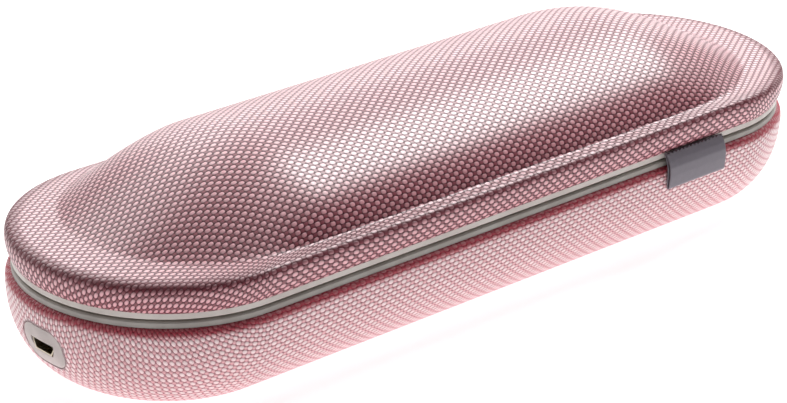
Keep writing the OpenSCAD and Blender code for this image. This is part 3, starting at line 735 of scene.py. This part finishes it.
@dataclass
class CoverShell:
    """One half's woven cover: an outer and an inner surface that meet at the rim.

    After build, cut and cut_area hold the flat cloth's width, length and area.
    """

    row_step = 0.0006
    inner_step = 0.003
    passes = 6
    stadium = Stadium(side_steps=190, end_steps=150)
    sizes: CaseSizes
    cut: tuple[float, float] = (0.0, 0.0)
    cut_area: float = 0.0

    def surface(self, off: float, step: float) -> np.ndarray:
        """Rings of the surface set in by off, a step apart, from the middle out."""
        raise NotImplementedError

    def shade_mask(self, points: np.ndarray) -> np.ndarray:
        """Share of painted shade at each point, from 0 to 1."""
        raise NotImplementedError

    def build(self, name: str) -> Object:
        """Builds the closed shell, with the attribute "cloth" for its weave and its painted shade.
        """
        outer = softened(self.surface(0.0, self.row_step), self.passes)
        inner = self.surface(self.sizes.skin_t, self.inner_step)
        flat = self.stadium.cloth(outer)
        cloth = np.concatenate([flat, self.stadium.cloth(inner)[::-1]])
        points = np.concatenate([outer, inner[::-1]])
        cloth = np.concatenate([cloth, self.shade_mask(points)[..., None]], axis=-1)
        rows, cols = points.shape[:2]
        obj = mesh_object(name, points.reshape(-1, 3), grid_faces(rows, cols),
                          {"cloth": cloth.reshape(-1, 3)})
        weld(obj)
        reach = np.abs(flat[-1]).max(axis=0)
        self.cut = (float(2 * reach[1]), float(2 * reach[0]))
        straight = 2 * (reach[0] - reach[1]) * 2 * reach[1]
        self.cut_area = float(straight + math.pi * reach[1] ** 2)
        return obj


class LidCover(CoverShell):
    """Cover of the lid: side band, shelf and dome."""

    passes = 12
    crown_steps = 2000
    side_steps = 24
    # Drop, half height at the sides and at the ends, reach and fade of the painted shade line.
    line_down = 0.0005
    line_half = (0.0006, 0.0011)
    line_from = 0.004
    line_fade = 0.001

    def dome(self, x0: float, y0: float, h0: float, rise: float, step: float) -> np.ndarray:
        """Rings of the dome on a rounded foot of half length x0 and half width y0.

        Ring q keeps the foot's spine and has half width q y0. The height is
        h0 + rise S(x) E(s), with S = (1 - t^fall)^ease where t runs from 0 at the crown's end
        to 1 at the foot's end, and E = (1 - s^full)^(1/full) (1 - s^near)^(foot w) where s is
        |y| over the foot's half width at x, and w rises smoothly from 0 to 1 beyond the crown.
        The values of q are evenly spaced along the middle section.
        """
        s = self.sizes
        q = np.sin(quarter(self.crown_steps))
        line = np.stack([q, y0 * q, rise * (1 - q ** s.dome_full) ** (1 / s.dome_full)], axis=1)
        far = np.concatenate([[0], np.cumsum(np.linalg.norm(np.diff(line[:, 1:], axis=0), axis=1))])
        share = np.interp(np.linspace(0, far[-1], int(far[-1] / step) + 2), far, q)
        width = y0 * share
        points = self.stadium.rings(np.stack([x0 - y0 + width, width, width], axis=1))
        x, y = np.abs(points[..., 0]), np.abs(points[..., 1])
        foot = np.sqrt(np.maximum(y0 ** 2 - np.maximum(x - (x0 - y0), 0) ** 2, 1e-12))
        t = np.clip((x - s.crown_half) / (x0 - s.crown_half), 0, 1)
        across = np.clip(y / foot, 0, 1)
        u = np.clip((x - s.crown_half) / s.soft_run, 0, 1)
        ease = np.maximum(1 - across ** s.soft_near, 1e-6) ** (s.soft_foot * u * u * (3 - 2 * u))
        points[..., 2] = (h0 + rise * ease * (1 - t ** s.end_fall) ** s.end_ease
                          * (1 - across ** s.dome_full) ** (1 / s.dome_full))
        return points

    def surface(self, off: float, step: float) -> np.ndarray:
        """Rings from the crown to the rim.

        The shelf slopes from the dome's foot to the crease, and the side bulges by a quarter
        of an ellipse above and below its fullest line.
        """
        s = self.sizes
        top = s.crease_h - off
        mid = s.rim_h + (top - s.rim_h) * s.band_share
        x0 = s.half_l - off - s.crease_in - s.end_shelf
        y0 = s.side_r - off - s.crease_in - s.side_shelf
        h0 = top + s.shelf_rise
        dome = self.dome(x0, y0, h0, s.lid_h - off - h0, step)
        b = quarter(self.side_steps)[::-1]
        high = off + s.crease_in - (s.crease_in - s.band_in) * np.cos(b)
        upper = np.stack([s.half_l - high, s.side_r - high, mid + (top - mid) * np.sin(b)], axis=1)
        c = quarter(self.side_steps)[1:]
        low = off + s.rim_tuck - (s.rim_tuck - s.band_in) * np.cos(c)
        drop = (mid - s.rim_h) * np.sin(c)
        lower = np.stack([s.half_l - low, s.side_r - low, mid - drop], axis=1)
        side = evenly(np.concatenate([[[x0, y0, h0]], upper, lower]), step)
        points = np.concatenate([dome, self.stadium.rings(side[1:])])
        points[..., 2] += s.lid_z
        return points

    def shade_mask(self, points: np.ndarray) -> np.ndarray:
        """Painted shade: a dark line along the crease at the shelf's outer edge, nearly twice as
        high at the ends.
        """
        s = self.sizes
        reach = np.maximum(np.abs(points[..., 0]) - s.spine_half, 0)
        radius = np.hypot(reach, points[..., 1])
        half = np.interp(reach / s.side_r, (0, 1), self.line_half)
        up = (points[..., 2] - s.lid_z - s.crease_h + self.line_down) / half
        edge = np.clip((radius - s.side_r + self.line_from) / self.line_fade, 0, 1)
        return np.exp(-up ** 2) * edge


class BaseCover(CoverShell):
    """Cover of the base: flat underside, full side, and the curl under the rim."""

    side_steps = 160
    curl_steps = 24
    # Start below the widest line and fade of the painted shade.
    shade_down = 0.0006
    shade_fade = 0.0009

    def surface(self, off: float, step: float) -> np.ndarray:
        """Rings from the middle of the underside to the rim.

        The side is r = R - draw + (draw - off) (cos a)^(2/p) and
        z = waist - (waist - off) (sin a)^(2/p). Above the waist it curls in by
        tuck (1 - cos a) while it rises by sin a.
        """
        s = self.sizes
        a, power = quarter(self.side_steps)[::-1], 2 / s.base_full
        r = s.side_r - s.base_draw + (s.base_draw - off) * np.cos(a) ** power
        z = s.waist_z - (s.waist_z - off) * np.sin(a) ** power
        b = quarter(self.curl_steps)[1:]
        r = np.concatenate([[0.0], r, s.side_r - off - s.rim_tuck * (1 - np.cos(b))])
        z = np.concatenate([[off], z, s.waist_z + (s.shell_top - s.waist_z) * np.sin(b)])
        return self.stadium.rings(evenly(np.stack([s.spine_half + r, r, z], axis=1), step))

    def shade_mask(self, points: np.ndarray) -> np.ndarray:
        """Painted shade on the cloth from a little below the widest line, where it curls in, up to
        the rim.
        """
        s = self.sizes
        share = (points[..., 2] - (s.waist_z - self.shade_down)) / self.shade_fade
        return np.clip(share, 0.0, 1.0)


@dataclass
class FoldedLabel:
    """Woven label: a ribbon folded at its foot, sewn to the lid's lower edge.

    After build, flat holds the ribbon's width and length.
    """

    width = 0.020
    middle_x = 0.0577
    drop = 0.0075
    thick = 0.00028
    clear = 0.0003
    between = 0.00008
    sewn_in = 0.0012
    tooth = 0.0006
    teeth = 15
    tooth_cols = 8
    rows = 90
    step = 0.00015
    passes = 4
    sizes: CaseSizes
    flat: tuple[float, float] = (0.0, 0.0)

    def middle_line(self) -> np.ndarray:
        """The ribbon seen from its side, as (n, 2) places of y and z.

        It runs down the back layer, round the fold, and up the face layer, which bulges a
        little, to the lid's rim.
        """
        z0 = self.sizes.lid_z
        foot = z0 - self.drop
        back_y = -self.sizes.side_r - self.clear - self.thick / 2
        face_y = back_y - self.thick - self.between
        top_z = z0 + self.sizes.rim_h - 0.0001
        side_y = -(self.sizes.side_r - self.sewn_in) - self.thick / 2 - 0.0001
        line = np.array([
            [side_y, top_z], [back_y + 0.0006, z0 - 0.0002], [back_y, z0 - 0.0022],
            [back_y, foot + 0.0006], [(back_y + face_y) / 2, foot + 0.0001],
            [face_y - 0.0003, foot + 0.0007], [face_y - 0.0005, z0 - 0.004],
            [face_y - 0.0004, z0 - 0.0018], [face_y + 0.0002, z0 - 0.0002],
            [side_y - self.thick - 0.0001, top_z + 0.0003]])
        return softened(evenly(line, self.step), self.passes)

    def build(self, name: str) -> Object:
        """Builds the ribbon.

        Each column of the grid follows the middle line to a length that a triangle wave
        changes, which cuts the teeth. The two faces lie half a thickness to either side.
        """
        path = self.middle_line()
        slope = np.gradient(path, axis=0)
        slope /= np.linalg.norm(slope, axis=1, keepdims=True)
        normal = np.stack([slope[:, 1], -slope[:, 0]], axis=1)
        cols = self.tooth_cols * self.teeth + 1
        x = self.width * np.linspace(-0.5, 0.5, cols)
        wave = np.abs((np.arange(cols) / self.tooth_cols) % 1 - 0.5) * 2
        long = len(path) - 1
        length = float(np.linalg.norm(np.diff(path, axis=0), axis=1).sum())
        reach = 1 + self.tooth / length * (wave - 1)
        share = np.linspace(0, 1, self.rows)[:, None] * reach * long
        grid = []
        for side in (-0.5, 0.5):
            moved = path + normal * self.thick * side
            y, z = (np.interp(share, np.arange(long + 1), moved[:, i]) for i in range(2))
            grid.append(np.stack([np.broadcast_to(self.middle_x + x, y.shape), y, z], axis=-1))
        points = np.concatenate([grid[0], grid[1][::-1]])
        along = np.concatenate([share, share[::-1]]) / long * length
        cloth = np.stack([np.broadcast_to(x, along.shape), along, np.zeros_like(along)], axis=-1)
        faces = grid_faces(2 * self.rows + 1, cols, closed=False) % (2 * self.rows * cols)
        obj = mesh_object(name, points.reshape(-1, 3), faces, {"cloth": cloth.reshape(-1, 3)})
        self.flat = (self.width, length)
        with editing(obj.data) as work:
            bmesh.ops.holes_fill(work, edges=[e for e in work.edges if e.is_boundary], sides=0)
            bmesh.ops.recalc_face_normals(work, faces=work.faces)
        return obj


def refined(node: str, name: str, bevel: float = 0.0) -> Object:
    """A merged copy of a CAD node with smooth curved faces and crisp edges.

    Args:
        node: the CAD node.
        name: the new piece's name.
        bevel: width of a small rounding on the crisp edges, in metres.

    Returns:
        The new piece, at the origin.
    """
    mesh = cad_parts[node].data.copy()
    mesh.name = name
    obj = linked(name, mesh)
    with editing(mesh) as work:
        bmesh.ops.remove_doubles(work, verts=work.verts, dist=MERGE)
        bmesh.ops.dissolve_limit(work, angle_limit=FLAT, verts=work.verts, edges=work.edges)
        for edge in work.edges:
            edge.smooth = len(edge.link_faces) == 2 and edge.calc_face_angle(0.0) < CRISP
    mesh.polygons.foreach_set("use_smooth", np.ones(len(mesh.polygons), bool))
    if bevel > 0.0:
        cut = obj.modifiers.new("soft_edges", "BEVEL")
        cut.width = bevel
        cut.segments = 2
        cut.limit_method = "ANGLE"
        cut.angle_limit = CRISP
        cut.harden_normals = True
    return obj


@dataclass
class Covers:
    """Both woven covers and the label."""

    dresser: Dresser
    sizes: CaseSizes

    def lid(self) -> None:
        """Builds and dresses the lid's cover."""
        shell = LidCover(self.sizes)
        obj = shell.build("lid_cover_weave")
        self.dresser.dress(obj, LID_WEAVE, Body.LID, "woven_cover", "lid_cover")

    def base(self) -> None:
        """Builds and dresses the base's cover, with the hole for the inlet's surround."""
        shell = BaseCover(self.sizes)
        obj = shell.build("base_cover_weave")
        self.cut_port(obj)
        self.dresser.dress(obj, BASE_WEAVE, Body.BASE, "woven_cover", "base_cover")

    def cut_port(self, obj: Object) -> None:
        """Cuts a rounded rectangle through the inlet end, a little wider than the surround.

        Its outline has a quarter circle of the surround's corner radius, grown by the gap, at
        each corner. The cutter is a prism on it, from in front of the end to behind the cover.
        """
        gap, ahead, depth, n = 0.00005, 0.002, 0.012, 96
        low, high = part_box("port_bezel")
        corner = self.sizes.bezel_r
        half_w, half_h = (high[1] - low[1]) / 2 - corner, (high[2] - low[2]) / 2 - corner
        t = np.linspace(0, 2 * np.pi, n, endpoint=False) + np.pi / n
        y = np.sign(np.cos(t)) * half_w + np.cos(t) * (corner + gap)
        z = np.sign(np.sin(t)) * half_h + np.sin(t) * (corner + gap) + (low[2] + high[2]) / 2
        front = np.stack([np.full_like(t, -self.sizes.half_l - ahead), y, z], axis=1)
        back = front + np.array([depth, 0.0, 0.0])
        points = np.concatenate([front, back, front.mean(axis=0)[None], back.mean(axis=0)[None]])
        i = np.arange(n)
        j = (i + 1) % n
        rows = ((i, j, j + n), (i, j + n, i + n), (j, i, np.full(n, 2 * n)),
                (i + n, j + n, np.full(n, 2 * n + 1)))
        faces = np.concatenate([np.stack(row, 1) for row in rows])
        cutter = mesh_object("port_cutter", points, faces)
        weld(cutter)
        cut = obj.modifiers.new("port", "BOOLEAN")
        cut.object = cutter
        cut.operation = "DIFFERENCE"
        cut.solver = "MANIFOLD"
        apply_modifiers(obj)
        bpy.data.objects.remove(cutter)

    def label(self) -> None:
        """Builds and dresses the label."""
        label = FoldedLabel(self.sizes)
        obj = label.build("label_ribbon")
        self.dresser.dress(obj, LabelSatin(), Body.LID, "label_weave", "woven_label")


@dataclass
class Mouldings:
    """Rims, tray, lining, surround and the hard parts inside.

    smooth_nodes gives the CAD node, the piece, its finish, its body, its slot and the width of
    its softened edges. plain_nodes keep their CAD shape.
    """

    smooth_nodes = (
        # The two rim strips differ only by painted light and painted shade.
        ("base_rim", "base_rim_strip", RIM_PAINTED_SHADE, Body.BASE, "rim_plastic", 0.00015),
        ("lid_rim", "lid_rim_strip", RIM_PAINTED_LIT, Body.LID, "rim_plastic", 0.00015),
        ("charging_tray", "charging_tray_shell", TRAY, Body.BASE, "tray_plastic", 0.0002),
        ("lid_lining", "lid_lining_shell", TRAY, Body.LID, "tray_plastic", 0.0002),
        ("port_bezel", "port_surround", BEZEL, Body.BASE, "surround_plastic", 0.0003),
        ("usb_shell", "inlet_shell", INLET, Body.BASE, "inlet_shell", 0.00005),
        ("hinge_pins", "hinge_pin_rods", STEEL, Body.BASE, "pin_steel", 0.0001),
    )
    plain_nodes = (
        ("base_core", CORE), ("lid_core", CORE), ("base_magnets", NICKEL), ("lid_magnets", NICKEL),
        ("usb_tongue", TONGUE), ("usb_contacts", GOLD), ("circuit_board", LAMINATE),
        ("control_chip", CHIP), ("board_components", PARTS), ("coil_bobbin", BOBBIN),
        ("charging_coil", COPPER), ("ferrite_rod", FERRITE), ("coil_leads", SLEEVE),
        ("board_screws", STEEL), ("tray_screws", STEEL),
    )

    dresser: Dresser

    def build(self) -> None:
        """Dresses every hard part."""
        for node, name, finish, body, slot, bevel in self.smooth_nodes:
            self.dresser.dress(refined(node, name, bevel), finish, body, slot, node)
        for node, finish in self.plain_nodes:
            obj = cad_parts[node]
            if not obj.data.materials:
                obj.data.materials.append(None)
            for place in obj.material_slots:
                place.material = self.dresser.material(finish)
            LOG.info("%s keeps its CAD shape", node)


@dataclass
class Pads:
    """Rubber pads of the cradle, and foam pads of the lid with their edges rounded."""

    rubber_edge = 0.0003
    foam_voxel = 0.0005
    foam_ease = 0.5
    foam_passes = 14
    dresser: Dresser

    def build(self) -> None:
        """Builds both kinds of pad."""
        cradle = refined("cradle_pads", "cradle_pad_strips", self.rubber_edge)
        self.dresser.dress(cradle, RUBBER, Body.BASE, "pad_rubber", "cradle_pads")
        foam = refined("lid_pads", "lid_pad_blocks")
        grow = foam.modifiers.new("voxels", "REMESH")
        grow.mode = "VOXEL"
        grow.voxel_size = self.foam_voxel
        ease = foam.modifiers.new("rounding", "SMOOTH")
        ease.factor = self.foam_ease
        ease.iterations = self.foam_passes
        apply_modifiers(foam)
        foam.data.shade_smooth()
        self.dresser.dress(foam, FOAM, Body.LID, "pad_rubber", "lid_pads")


class Studio:
    """Camera, floor and lights.

    softboxes gives each lamp's name, place, width and height in metres, and watts.
    """

    camera_place = (-0.4546, -0.4669, 0.3002)
    camera_axes = ((0.7300, -0.6831, 0.0240), (0.2570, 0.3068, 0.9164), (-0.6333, -0.6628, 0.3995))
    lens_mm = 135.93
    floor_half = 3.0
    table_glow = 1.0
    table_reach = (0.10, 0.26)
    table_narrow = 0.55
    seen_glow = 0.72
    room_glow = 0.10
    curtain_far = 1.3
    curtain_high = 1.4
    curtain_lean = 0.75
    curtain_turn = (185.0, 345.0)
    curtain_steps = 49
    curtain_dark = (0.01, 0.01, 0.01, 1.0)
    aim_at = (0.0, 0.0, 0.02)
    softboxes = (("right_high", (0.63, 0.08, 0.77), (0.5, 0.45), 7.0),
                 ("behind", (0.62, 0.70, 0.42), (0.9, 0.7), 4.0),
                 ("behind_high", (0.05, 0.70, 0.75), (0.8, 0.4), 3.0))

    def build(self) -> None:
        """Builds the whole studio."""
        self.camera()
        self.floor()
        self.curtain()
        self.lamps()
        view = bpy.context.scene.view_settings
        view.view_transform = "Standard"

    def camera(self) -> None:
        """Camera at the photo's angle, from its right, up and back axes."""
        data = bpy.data.cameras.new("studio_camera")
        data.lens = self.lens_mm
        data.sensor_width = 36.0
        data.clip_start = 0.05
        obj = linked("studio_camera", data)
        turn = np.array(self.camera_axes).T
        left, _, right = np.linalg.svd(turn)
        matrix = Matrix((left @ right).tolist()).to_4x4()
        matrix.translation = self.camera_place
        obj.matrix_world = matrix
        bpy.context.scene.camera = obj

    def floor(self) -> None:
        """Pale floor that looks white and keeps the shadow, and a white surround.

        For rays that don't show the background, an oval of the floor round the case glows and
        lights it from below, as a white table does.
        """
        corners = np.array([[-1, -1, 0], [1, -1, 0], [1, 1, 0], [-1, 1, 0]], float)
        obj = mesh_object("floor", corners * self.floor_half, np.array([[0, 1, 2, 3]]))
        obj.data.shade_flat()
        made = bpy.data.materials.new("floor_white")
        n = emptied(made)
        plain = n.add("BsdfDiffuse", {"Color": (0.8, 0.8, 0.8, 1.0)})
        split = n.add("SeparateXYZ", {0: n.add("TexCoord").outputs["Object"]})
        narrow = n.math("MULTIPLY", split.outputs[0], self.table_narrow)
        place = n.add("CombineXYZ", {0: narrow, 1: split.outputs[1]})
        far = n.add("VectorMath", {0: place.outputs[0]}, operation="LENGTH").outputs["Value"]
        lit = n.spread(far, *self.table_reach, self.table_glow, 0.0, smooth=True)
        seen = self.seen(n)
        strength = n.math("ADD", n.math("MULTIPLY", n.math("SUBTRACT", 1.0, seen), lit),
                          n.math("MULTIPLY", seen, self.seen_glow))
        glow = n.add("Emission", {"Color": (1, 1, 1, 1), "Strength": strength})
        both = n.add("AddShader", {0: plain.outputs[0], 1: glow.outputs[0]})
        n.add("OutputMaterial", {"Surface": both.outputs[0]})
        obj.data.materials.append(made)
        world = bpy.data.worlds.new("studio_world")
        bpy.context.scene.world = world
        n = emptied(world)
        strength = n.spread(self.seen(n), 0.0, 1.0, self.room_glow, 1.0)
        back = n.add("Background", {"Color": (1, 1, 1, 1), "Strength": strength})
        n.add("OutputWorld", {"Surface": back.outputs[0]})

    @staticmethod
    def seen(n: Nodes) -> Socket:
        """1 for rays that show the background: straight from the camera, off gloss, or through."""
        path = n.add("LightPath")
        first = n.math("MAXIMUM", path.outputs["Is Camera Ray"], path.outputs["Is Glossy Ray"])
        return n.math("MAXIMUM", first, path.outputs["Is Transmission Ray"])

    def curtain(self) -> None:
        """Dark curtain round the camera's side, which keeps the upright front faces deep."""
        turn = np.radians(np.linspace(*self.curtain_turn, self.curtain_steps))
        low = np.stack([np.cos(turn), np.sin(turn), np.zeros_like(turn)], axis=1)
        low *= self.curtain_far
        high = low * self.curtain_lean + np.array([0.0, 0.0, self.curtain_high])
        obj = mesh_object("dark_curtain", np.concatenate([low, high]),
                          grid_faces(2, len(turn), closed=False))
        obj.visible_camera = False
        made, _, _ = new_material("curtain_black", Roughness=1.0, Base_Color=self.curtain_dark)
        obj.data.materials.append(made)

    def lamps(self) -> None:
        """Softboxes that look at the case, from the right and from behind."""
        for name, place, size, power in self.softboxes:
            data = bpy.data.lights.new(name, "AREA")
            data.shape = "RECTANGLE"
            data.size, data.size_y = size
            data.energy = power
            obj = linked(name, data)
            aim = np.array(self.aim_at) - np.array(place)
            obj.location = place
            obj.rotation_euler = Vector(aim.tolist()).to_track_quat("-Z", "Y").to_euler()


def main() -> None:
    """Builds the case and the studio."""
    logging.basicConfig(level=logging.INFO, format="%(message)s")
    Studio().build()
    dresser = Dresser(Library())
    covers = Covers(dresser, SIZES)
    covers.base()
    covers.lid()
    covers.label()
    Mouldings(dresser).build()
    Pads(dresser).build()


if __name__ == "__main__":
    main()
